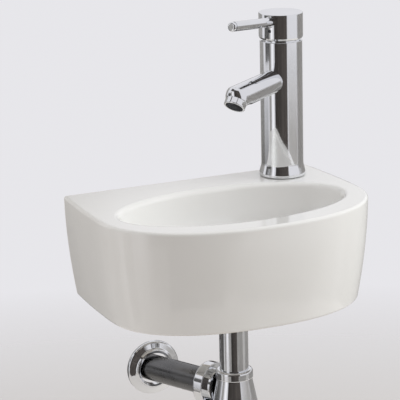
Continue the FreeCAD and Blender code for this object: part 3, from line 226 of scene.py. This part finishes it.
def satin_pipe():
    """Dull plating of the outlet pipe, coloured dark as painted shade and painted reflection of the
    shaded underside of the basin.
    """
    paint = Paint("satin_pipe", Metallic=1.0)
    # Painted shade and painted reflection: the plating's colour is kept dark to stand in for the shade
    # beneath the basin and the dark it mirrors.
    paint.tint(paint.noise(scale=45.0, detail=3.0), (0.145, 0.145, 0.148), (0.185, 0.185, 0.186))
    paint.polish(paint.noise(scale=90.0, detail=3.0), smooth=0.24, rough=0.34)
    paint.bump(paint.noise(scale=700.0), distance=0.00002, strength=0.4)
    return paint.material


def rubber():
    """Black rubber with dust in its grain."""
    paint = Paint("rubber", Specular_IOR_Level=0.35)
    dust = paint.noise(scale=120.0, detail=4.0)
    paint.tint(dust, (0.022, 0.022, 0.023), (0.060, 0.059, 0.057), low=0.4)
    paint.polish(dust, smooth=0.55, rough=0.80)
    paint.bump(paint.noise(scale=1500.0), distance=0.00008, strength=0.5)
    return paint.material


def brass():
    """Turned brass, tarnished in patches, with the marks of the tool round its axis."""
    paint = Paint("brass", Metallic=1.0)
    tarnish = paint.noise(scale=70.0, detail=4.0, roughness=0.6)
    paint.tint(tarnish, (0.80, 0.64, 0.34), (0.56, 0.41, 0.20), low=0.35)
    paint.polish(tarnish, smooth=0.20, rough=0.42)
    turned = paint.noise(scale=1.0, along=(60, 60, 5200))
    paint.bump(turned, distance=0.00004, strength=0.6)
    return paint.material


def plated_steel():
    """Zinc plating with its spangle of small cells."""
    paint = Paint("zinc_plated_steel", Metallic=1.0)
    paint.colour(paint.mixed(paint.cells(scale=420.0), (0.56, 0.56, 0.555), (0.68, 0.685, 0.70)))
    paint.polish(paint.noise(scale=150.0, detail=3.0), smooth=0.26, rough=0.44)
    paint.bump(paint.noise(scale=1400.0), distance=0.00004, strength=0.5)
    return paint.material


def moulded(name, first, second, smooth, rough):
    """A moulded plastic with a faint flow pattern and a fine satin grain."""
    paint = Paint(name, IOR=1.49)
    paint.tint(paint.noise(scale=40.0, detail=3.0), first, second)
    paint.polish(paint.noise(scale=300.0), smooth, rough)
    paint.bump(paint.noise(scale=2600.0), distance=0.00003, strength=0.5)
    return paint.material


def lapped_ceramic():
    """Pale ceramic of the cartridge's discs, lapped smooth."""
    paint = Paint("lapped_ceramic", IOR=1.7)
    cloud = paint.noise(scale=200.0, detail=3.0)
    paint.tint(cloud, (0.84, 0.82, 0.77), (0.89, 0.875, 0.84))
    paint.polish(cloud, smooth=0.16, rough=0.30)
    paint.bump(paint.noise(scale=3000.0), distance=0.00002, strength=0.4)
    return paint.material


paints = {
    "glaze": glazed_ceramic(),
    "chrome": chrome(),
    # The outlet pipe's slot, whose dark colour is painted shade and painted reflection.
    "satin_pipe": satin_pipe(),
    "rubber": rubber(),
    "brass": brass(),
    "steel": plated_steel(),
    "white_plastic": moulded("white_plastic", (0.80, 0.80, 0.775), (0.87, 0.87, 0.855), 0.34, 0.50),
    "grey_plastic": moulded("grey_plastic", (0.075, 0.08, 0.09), (0.11, 0.115, 0.125), 0.38, 0.52),
    "disc_ceramic": lapped_ceramic(),
}
for node, slot in slots.items():
    mesh = nodes[node].data
    mesh.materials.clear()
    mesh.materials.append(paints[slot])


# ---------------------------------------------------------------- small pieces, in millimetres

BODY = "basin_and_fittings"
METRES_PER_MM = 0.001
MM_PER_METRE = 1000
UPRIGHT = ((1, 0, 0), (0, 1, 0), (0, 0, 1))
INTO_WALL = ((0, 0, 1), (1, 0, 0), (0, 1, 0))

# A thread runs from start to end along a bar, and its ridge takes a share of its pitch.
Thread = namedtuple("Thread", "start end pitch depth share")


def piece(name, mesh, slot):
    """Put a finished bmesh into the scene as a piece of the fixed body, painted as its slot."""
    bmesh.ops.recalc_face_normals(mesh, faces=mesh.faces)
    for face in mesh.faces:
        face.smooth = True
    data = bpy.data.meshes.new(name)
    mesh.to_mesh(data)
    mesh.free()
    data.materials.append(paints[slot])
    made = bpy.data.objects.new(name, data)
    bpy.context.scene.collection.objects.link(made)
    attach(made, BODY)
    return made


def ring(mesh, centre, across, upward, radii):
    """Add a ring of vertices round a centre, one at each radius."""
    made = []
    for number, radius in enumerate(radii):
        angle = 2 * math.pi * number / len(radii)
        spot = centre + radius * (math.cos(angle) * across + math.sin(angle) * upward)
        made.append(mesh.verts.new(spot * METRES_PER_MM))
    return made


def band(mesh, lower, upper):
    """Join two rings of vertices with a band of faces."""
    for side in range(len(lower)):
        after = (side + 1) % len(lower)
        mesh.faces.new((lower[side], lower[after], upper[after], upper[side]))


def cut(thread, distance, turn_share):
    """How deep a thread cuts at this distance along a bar and at this share of a turn round it."""
    if not thread.start <= distance <= thread.end:
        return 0.0
    fade = min(1.0, (distance - thread.start) / thread.pitch, (thread.end - distance) / thread.pitch)
    phase = (distance / thread.pitch - turn_share) % 1.0
    ridge = max(0.0, 1.0 - abs(phase - 0.5) * 2.0 / thread.share)
    return thread.depth * fade * (1.0 - ridge)


def threaded(mesh, origin, axes, envelope, threads, bore=None, sides=36, step=0.25):
    """Add a round bar whose outline follows the envelope and carries threads.

    The axes are two across and one along, right-handed. The envelope is (distance, radius) pairs along
    the bar, and the second pair has its full radius. With a bore, a radius too, the bar is a ring.
    """
    across, upward, along = (Vector(axis) for axis in axes)
    first = envelope[0][0]
    last = envelope[-1][0]
    full_radius = envelope[1][1]
    rows = int(round((last - first) / step))
    rings = []
    for row in range(rows + 1):
        distance = first + (last - first) * row / rows
        for (start, low), (end, high) in zip(envelope, envelope[1:]):
            if start <= distance <= end:
                outline = low + (high - low) * (distance - start) / (end - start)
        shallower = min(1.0, outline / full_radius)
        radii = []
        for side in range(sides):
            depth = sum(cut(thread, distance, side / sides) for thread in threads)
            radii.append(outline - depth * shallower)
        rings.append(ring(mesh, origin + distance * along, across, upward, radii))
    if bore:
        for distance in (last, first):
            rings.append(ring(mesh, origin + distance * along, across, upward, [bore] * sides))
        rings.append(rings[0])
    else:
        mesh.faces.new(rings[0])
        mesh.faces.new(rings[-1])
    for lower, upper in zip(rings, rings[1:]):
        band(mesh, lower, upper)


# Hanger bolts: a coarse wood thread in the wall, a plain shank and a fine thread for the nut.
BOLT_OFFSET = 75.0
BOLT_RADIUS = 5.0
BOLT_FRONT = -38.0
BOLT_FRONT_RADIUS = 3.9
BOLT_CHAMFER = 1.2
BOLT_TIP = 60.0
BOLT_TIP_RADIUS = 1.25
BOLT_TAPER = 7.5
NUT_THREAD = Thread(start=BOLT_FRONT, end=-3.0, pitch=1.5, depth=0.75, share=1.0)
WOOD_THREAD = Thread(start=5.0, end=BOLT_TIP, pitch=4.5, depth=1.35, share=0.45)

bolts = bmesh.new()
for side in (-1, 1):
    threaded(
        bolts,
        Vector((BOLT_OFFSET * side, 0, 0)),
        INTO_WALL,
        [
            (BOLT_FRONT, BOLT_FRONT_RADIUS),
            (BOLT_FRONT + BOLT_CHAMFER, BOLT_RADIUS),
            (BOLT_TIP - BOLT_TAPER, BOLT_RADIUS),
            (BOLT_TIP, BOLT_TIP_RADIUS),
        ],
        [NUT_THREAD, WOOD_THREAD],
    )
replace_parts(piece("wall_bolt_threads", bolts, "steel"), "wall_bolts")

# The stud that clamps the tap, threaded all along.
STUD_RADIUS = 4.0
STUD_END_RADIUS = 3.3
STUD_CHAMFER = 0.8

low, high = (corner * MM_PER_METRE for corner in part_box("fixing_stud"))
stud = bmesh.new()
threaded(
    stud,
    Vector(((low.x + high.x) / 2, (low.y + high.y) / 2, 0)),
    UPRIGHT,
    [
        (low.z, STUD_END_RADIUS),
        (low.z + STUD_CHAMFER, STUD_RADIUS),
        (high.z - STUD_CHAMFER, STUD_RADIUS),
        (high.z, STUD_END_RADIUS),
    ],
    [Thread(start=low.z, end=high.z, pitch=1.25, depth=0.62, share=1.0)],
    sides=28,
)
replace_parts(piece("fixing_stud_thread", stud, "brass"), "fixing_stud")

# Thread on the waste's tail, where it shows between the backnut and the trap's inlet nut.
DRAIN = Vector((0, -114.0, 0))
TAIL_RADIUS = 21.3
TAIL_BORE = 20.2
TAIL_CLEARANCE = 0.05
TAIL_RUN_INTO_NUTS = 4

tail_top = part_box("waste_backnut")[0].z * MM_PER_METRE
tail_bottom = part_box("inlet_nut")[1].z * MM_PER_METRE
tail_thread = Thread(
    start=tail_bottom - TAIL_RUN_INTO_NUTS,
    end=tail_top + TAIL_RUN_INTO_NUTS,
    pitch=1.8,
    depth=0.5,
    share=1.0,
)
tail = bmesh.new()
threaded(
    tail,
    DRAIN,
    UPRIGHT,
    [(tail_bottom + TAIL_CLEARANCE, TAIL_RADIUS), (tail_top - TAIL_CLEARANCE, TAIL_RADIUS)],
    [tail_thread],
    bore=TAIL_BORE,
    sides=64,
    step=0.2,
)
piece("waste_tail_thread", tail, "chrome")

# The click spring, as its own copy of the CAD node's mesh that takes the node's place.
coils = bpy.data.objects.new("click_spring_coils", nodes["click_spring"].data.copy())
bpy.context.scene.collection.objects.link(coils)
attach(coils, BODY)
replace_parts(coils, "click_spring")
low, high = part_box("click_spring")
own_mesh(coils)

# Wire screen across the mouth of the spout: two crossed layers, one lying on the other.
TAP_TURN = math.radians(33.0)
MOUTH_TILT = math.radians(39.5)
SCREEN_RADIUS = 9.6
SCREEN_PITCH = 1.3
WIRE_RADIUS = 0.2
WIRE_SIDES = 6

spout_way = Vector((-math.cos(TAP_TURN), -math.sin(TAP_TURN), 0))
mouth_axis = math.sin(MOUTH_TILT) * spout_way - Vector((0, 0, math.cos(MOUTH_TILT)))
mouth_side = Vector((math.sin(TAP_TURN), -math.cos(TAP_TURN), 0))
mouth_up = mouth_axis.cross(mouth_side)
reach_out = max(vertex.co.dot(mouth_axis) for vertex in nodes["aerator_insert"].data.vertices)
low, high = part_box("aerator_insert")
insert_middle = (low + high) / 2
mouth = (insert_middle + (reach_out - insert_middle.dot(mouth_axis)) * mouth_axis) * MM_PER_METRE


def wire(mesh, start, end):
    """Add a straight wire of the screen between two points."""
    along = (end - start).normalized()
    across = along.cross(mouth_axis).normalized()
    upward = along.cross(across)
    ends = [ring(mesh, spot, across, upward, [WIRE_RADIUS] * WIRE_SIDES) for spot in (start, end)]
    for end_ring in ends:
        mesh.faces.new(end_ring)
    band(mesh, *ends)


screen = bmesh.new()
half_count = int(SCREEN_RADIUS / SCREEN_PITCH)
for radii_above_mouth, across, along in ((1, mouth_side, mouth_up), (3, mouth_up, mouth_side)):
    for number in range(-half_count, half_count + 1):
        offset = number * SCREEN_PITCH
        half_length = math.sqrt(SCREEN_RADIUS**2 - offset**2)
        middle = mouth + WIRE_RADIUS * radii_above_mouth * mouth_axis + offset * across
        wire(screen, middle - half_length * along, middle + half_length * along)
piece("aerator_screen", screen, "grey_plastic")


# ---------------------------------------------------------------- floor

FLOOR_LEVEL = -0.75
FLOOR_RADIUS = 2.3
FLOOR_SIDES = 96
FLOOR_FADES_FROM = 1.0
FLOOR_FADES_TO = 2.2


def pale_floor():
    """A pale floor that fades into the surround with distance and shows from above only."""
    paint = Paint("pale_floor", Specular_IOR_Level=0.2)
    paint.colour(paint.mixed(paint.noise(scale=1.5), (0.78, 0.755, 0.73), (0.82, 0.795, 0.77)))
    paint.polish(paint.noise(scale=4.0), smooth=0.7, rough=0.85)
    away = paint.new("ShaderNodeVectorMath", operation="LENGTH")
    paint.link(paint.place, away.inputs[0])
    faded = paint.spread(away.outputs["Value"], FLOOR_FADES_FROM, FLOOR_FADES_TO, 1.0, 0.0)
    below = paint.new("ShaderNodeNewGeometry").outputs["Backfacing"]
    upper_side = paint.maths("SUBTRACT", 1.0, below)
    paint.link(paint.maths("MULTIPLY", faded, upper_side), paint.shader.inputs["Alpha"])
    return paint.material


disc = bmesh.new()
bmesh.ops.create_circle(disc, cap_ends=True, radius=FLOOR_RADIUS, segments=FLOOR_SIDES)
floor_data = bpy.data.meshes.new("floor")
disc.to_mesh(floor_data)
disc.free()
floor_data.materials.append(pale_floor())
floor = bpy.data.objects.new("floor", floor_data)
bpy.context.scene.collection.objects.link(floor)
floor.location.z = FLOOR_LEVEL


# ---------------------------------------------------------------- studio cards

# The bearings of cards and lamps count from the direction of the picture's viewpoint.
VIEW_AZIMUTH = math.radians(24.3807)
STUDIO_MIDDLE = Vector((0.03, -0.08, 0.0))
DEGREES_PER_STRIP = 4


def around(degrees, distance, height):
    """A point round the object: degrees to the right of the picture's viewpoint, seen from above."""
    angle = VIEW_AZIMUTH - math.radians(degrees)
    return STUDIO_MIDDLE + Vector((-math.sin(angle) * distance, -math.cos(angle) * distance, height))


def matt_card(name, first, second, side, top, leaning=0.0):
    """A matt card that thins out towards its sides and its top, by shares of its width and height.

    Its colour clouds between first and second, and with leaning it also drifts across the card.
    """
    paint = Paint(name, Specular_IOR_Level=0.1)
    parts = paint.new("ShaderNodeSeparateXYZ")
    paint.link(paint.new("ShaderNodeTexCoord").outputs["UV"], parts.inputs[0])
    across, upward = parts.outputs["X"], parts.outputs["Y"]
    drift = paint.spread(across, 0.0, 1.0, -leaning / 2, leaning / 2)
    paint.colour(paint.mixed(paint.maths("ADD", paint.noise(scale=6.0), drift), first, second))
    paint.polish(paint.noise(scale=8.0), smooth=0.8, rough=0.9)
    left_edge = paint.spread(across, 0.0, side)
    right_edge = paint.spread(across, 1.0, 1.0 - side)
    top_edge = paint.spread(upward, 1.0, 1.0 - top)
    solid = paint.maths("MULTIPLY", paint.maths("MULTIPLY", left_edge, right_edge), top_edge)
    paint.link(solid, paint.shader.inputs["Alpha"])
    return paint.material


def card(name, bearings, distance, heights, paint):
    """An upright curved card between two bearings and two heights. It shows in reflections only."""
    start, end = bearings
    strips = int((end - start) / DEGREES_PER_STRIP)
    points = []
    for strip in range(strips + 1):
        bearing = start + (end - start) * strip / strips
        points += [around(bearing, distance, height) for height in heights]
    faces = []
    for strip in range(strips):
        first = strip * 2
        faces.append((first, first + 2, first + 3, first + 1))
    mesh = bpy.data.meshes.new(name)
    mesh.from_pydata(points, [], faces)
    spread_out = mesh.uv_layers.new(name="UVMap")
    for loop in mesh.loops:
        spread_out.data[loop.index].uv = (loop.vertex_index // 2 / strips, loop.vertex_index % 2)
    mesh.materials.append(paint)
    sheet = bpy.data.objects.new(name, mesh)
    bpy.context.scene.collection.objects.link(sheet)
    sheet.visible_camera = False
    sheet.visible_diffuse = False
    sheet.visible_shadow = False


dark = matt_card(
    "dark_card", (0.030, 0.027, 0.026), (0.125, 0.113, 0.107), side=0.07, top=0.15, leaning=0.8
)
shade = matt_card("shade_card", (0.11, 0.11, 0.11), (0.15, 0.15, 0.15), side=0.15, top=0.35)
grey = matt_card("grey_card", (0.40, 0.40, 0.40), (0.48, 0.475, 0.47), side=0.12, top=0.2)
pale = matt_card("pale_card", (0.62, 0.62, 0.625), (0.70, 0.70, 0.70), side=0.12, top=0.25)

card("flag_front", bearings=(-41, 36), distance=1.25, heights=(-0.36, 1.7), paint=dark)
card("flag_high_left", bearings=(-84, -38), distance=1.2, heights=(0.68, 2.0), paint=dark)
card("flag_foot", bearings=(-22, 26), distance=1.2, heights=(FLOOR_LEVEL, -0.3), paint=dark)
card("grey_foot", bearings=(-44, 40), distance=1.35, heights=(FLOOR_LEVEL, -0.2), paint=grey)
card("shade_low_left", bearings=(-170, -74), distance=1.0, heights=(FLOOR_LEVEL, 0.0), paint=shade)
card("shade_left", bearings=(-104, -66), distance=0.98, heights=(-0.02, 0.3), paint=shade)
card("grey_left", bearings=(-172, -114), distance=1.3, heights=(FLOOR_LEVEL, 0.9), paint=grey)
card("line_left", bearings=(-76, -60), distance=1.2, heights=(FLOOR_LEVEL, 0.6), paint=grey)
card("pale_right", bearings=(33, 98), distance=1.3, heights=(FLOOR_LEVEL, -0.02), paint=pale)
card("grey_low_right", bearings=(30, 74), distance=1.25, heights=(FLOOR_LEVEL, -0.4), paint=grey)
card("grey_right", bearings=(90, 168), distance=1.35, heights=(FLOOR_LEVEL, 0.28), paint=grey)
card("dark_behind", bearings=(166, 194), distance=1.4, heights=(FLOOR_LEVEL, 0.25), paint=dark)


# ---------------------------------------------------------------- lamps and surround

LAMPS_AIM_AT = Vector((0.0, -0.1, 0.0))
WHITE = (1.0, 1.0, 1.0)


def softbox(name, bearing, distance, height, size, radiance, shown=True, colour=WHITE):
    """A rectangular lamp whose power follows from how bright its face is.

    One that isn't shown is missing from reflections.
    """
    width, tall = size
    data = bpy.data.lights.new(name, "AREA")
    data.color = colour
    data.shape = "RECTANGLE"
    data.size = width
    data.size_y = tall
    data.energy = radiance * math.pi * width * tall
    lamp = bpy.data.objects.new(name, data)
    bpy.context.scene.collection.objects.link(lamp)
    lamp.location = around(bearing, distance, height)
    lamp.rotation_euler = (LAMPS_AIM_AT - lamp.location).to_track_quat("-Z", "Y").to_euler()
    lamp.visible_camera = False
    lamp.visible_glossy = shown


# Two lamps overhead share one place. Only the weaker one shows in reflections.
OVERHEAD = {"bearing": -10, "distance": 0.2, "height": 1.9, "size": (2.0, 1.6)}
OVERHEAD_WHITE = (0.92, 0.96, 0.99)
FRONT_WHITE = (0.94, 0.97, 0.99)
RIGHT_WHITE = (0.955, 0.985, 0.985)
softbox("overhead", **OVERHEAD, radiance=0.87, shown=False, colour=OVERHEAD_WHITE)
softbox("overhead_glow", **OVERHEAD, radiance=0.22, colour=OVERHEAD_WHITE)
softbox(
    "front_high", bearing=25, distance=1.5, height=1.6, size=(1.0, 0.8),
    radiance=1.3, shown=False, colour=FRONT_WHITE,
)
softbox(
    "right", bearing=92, distance=1.9, height=0.8, size=(1.6, 1.5),
    radiance=3.8, shown=False, colour=RIGHT_WHITE,
)
softbox("left", bearing=-92, distance=1.9, height=0.0, size=(1.3, 1.4), radiance=1.6, shown=False)
softbox("strip_left", bearing=-51, distance=1.9, height=0.0, size=(0.26, 1.5), radiance=0.22)

# The surround is paler to the camera and in reflections than in the light that it gives.
SURROUND_LIGHT = (0.440, 0.415, 0.395, 1)
SURROUND_SEEN = (0.80, 0.795, 0.825, 1)

world = bpy.data.worlds.new("studio")
bpy.context.scene.world = world
world.use_nodes = True
tree = world.node_tree
path = tree.nodes.new("ShaderNodeLightPath")
seen = path.outputs["Is Camera Ray"]
for kind in ("Is Glossy Ray", "Is Transmission Ray"):
    either = tree.nodes.new("ShaderNodeMath")
    either.operation = "MAXIMUM"
    tree.links.new(seen, either.inputs[0])
    tree.links.new(path.outputs[kind], either.inputs[1])
    seen = either.outputs["Value"]
shades = tree.nodes.new("ShaderNodeMix")
shades.data_type = "RGBA"
for place, value in zip(COLOUR_INPUTS, (SURROUND_LIGHT, SURROUND_SEEN)):
    shades.inputs[place].default_value = value
tree.links.new(seen, shades.inputs[FACTOR])
tree.links.new(shades.outputs[COLOUR_OUTPUT], tree.nodes["Background"].inputs["Color"])


# ---------------------------------------------------------------- camera

VIEW_ELEVATION = math.radians(14.93)
VIEW_ROLL = math.radians(-1.2816)
CAMERA_PLACE = (-0.97790, -2.19014, 0.66529)
CAMERA_REACH = 100
FOCAL_PIXELS = 2188.99
PICTURE_PIXELS = 400
SENSOR_MM = 36.0

lens = bpy.data.cameras.new("camera")
lens.sensor_width = SENSOR_MM
lens.lens = SENSOR_MM * FOCAL_PIXELS / PICTURE_PIXELS
lens.clip_end = CAMERA_REACH
camera = bpy.data.objects.new("camera", lens)
bpy.context.scene.collection.objects.link(camera)
back = Vector((
    -math.sin(VIEW_AZIMUTH) * math.cos(VIEW_ELEVATION),
    -math.cos(VIEW_AZIMUTH) * math.cos(VIEW_ELEVATION),
    math.sin(VIEW_ELEVATION),
))
level = Vector((math.cos(VIEW_AZIMUTH), -math.sin(VIEW_AZIMUTH), 0))
above = level.cross(-back)
right = math.cos(VIEW_ROLL) * level + math.sin(VIEW_ROLL) * above
upright = math.cos(VIEW_ROLL) * above - math.sin(VIEW_ROLL) * level
turn = Matrix((right, upright, back)).transposed().to_4x4()
camera.matrix_world = Matrix.Translation(CAMERA_PLACE) @ turn
bpy.context.scene.camera = camera

bpy.context.scene.view_settings.view_transform = "Standard"
